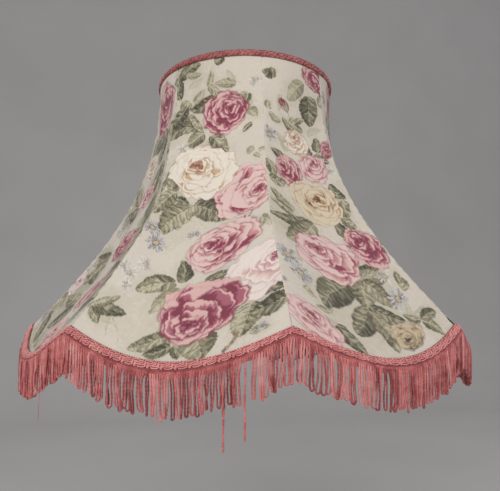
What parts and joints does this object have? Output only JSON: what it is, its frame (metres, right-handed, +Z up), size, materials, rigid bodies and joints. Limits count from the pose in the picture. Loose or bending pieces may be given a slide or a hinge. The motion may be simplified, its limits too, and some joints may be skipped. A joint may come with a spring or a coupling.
{
  "type": "lamp shade",
  "caption": "Traditional lined lamp shade: flared panelled fabric cover on a wire frame, scalloped edge with gimp and looped fringe, tilting gimbal fitting.",
  "frame": {"origin": "centre of the fitting ring's underside, where the shade sits on the lampholder", "axes": "+Z up the axis that both rings are centred on, round which the frame repeats eight times apart from two struts whose upper halves lean; +X along the line through the two pivot rivets; -Y is the front, where one strut's foot lies"},
  "size_m": [0.5184, 0.5184, 0.3929],
  "materials": {
    "printed_cotton": "matt, printed with flowers",
    "lining_cloth": "soft sheen",
    "fringe_yarn": "twisted viscose yarn, slight sheen",
    "braid_yarn": "gimp cord, slight sheen",
    "enamelled_wire": "satin",
    "plated_steel": "satin"
  },
  "bodies": {
    "fitting": {"fitting_ring": "plated_steel", "pivot_rivet_left": "plated_steel", "pivot_rivet_right": "plated_steel"},
    "shade": {"bottom_ring": "enamelled_wire", "cover_panel_1": "printed_cotton", "cover_panel_2": "printed_cotton", "cover_panel_3": "printed_cotton", "cover_panel_4": "printed_cotton", "cover_panel_5": "printed_cotton", "cover_panel_6": "printed_cotton", "cover_panel_7": "printed_cotton", "cover_panel_8": "printed_cotton", "fringe_header": "braid_yarn", "fringe_skirt_1": "fringe_yarn", "fringe_skirt_2": "fringe_yarn", "fringe_skirt_3": "fringe_yarn", "fringe_skirt_4": "fringe_yarn", "fringe_skirt_5": "fringe_yarn", "fringe_skirt_6": "fringe_yarn", "fringe_skirt_7": "fringe_yarn", "fringe_skirt_8": "fringe_yarn", "gimbal_arm_left": "enamelled_wire", "gimbal_arm_right": "enamelled_wire", "lining_back": "lining_cloth", "lining_front": "lining_cloth", "long_strand_1": "fringe_yarn", "long_strand_2": "fringe_yarn", "neatener_left": "lining_cloth", "neatener_right": "lining_cloth", "stray_thread": "fringe_yarn", "strut_1": "enamelled_wire", "strut_2": "enamelled_wire", "strut_3": "enamelled_wire", "strut_4": "enamelled_wire", "strut_5": "enamelled_wire", "strut_6": "enamelled_wire", "strut_7": "enamelled_wire", "strut_8": "enamelled_wire", "top_braid": "braid_yarn", "top_ring": "enamelled_wire"}
  },
  "joints": [
    {"name": "gimbal_tilt", "type": "hinge", "parent": "fitting", "child": "shade", "pos_m": [0, 0, 0.008], "axis": [1, 0, 0], "range_deg": [-30, 30]}
  ]
}
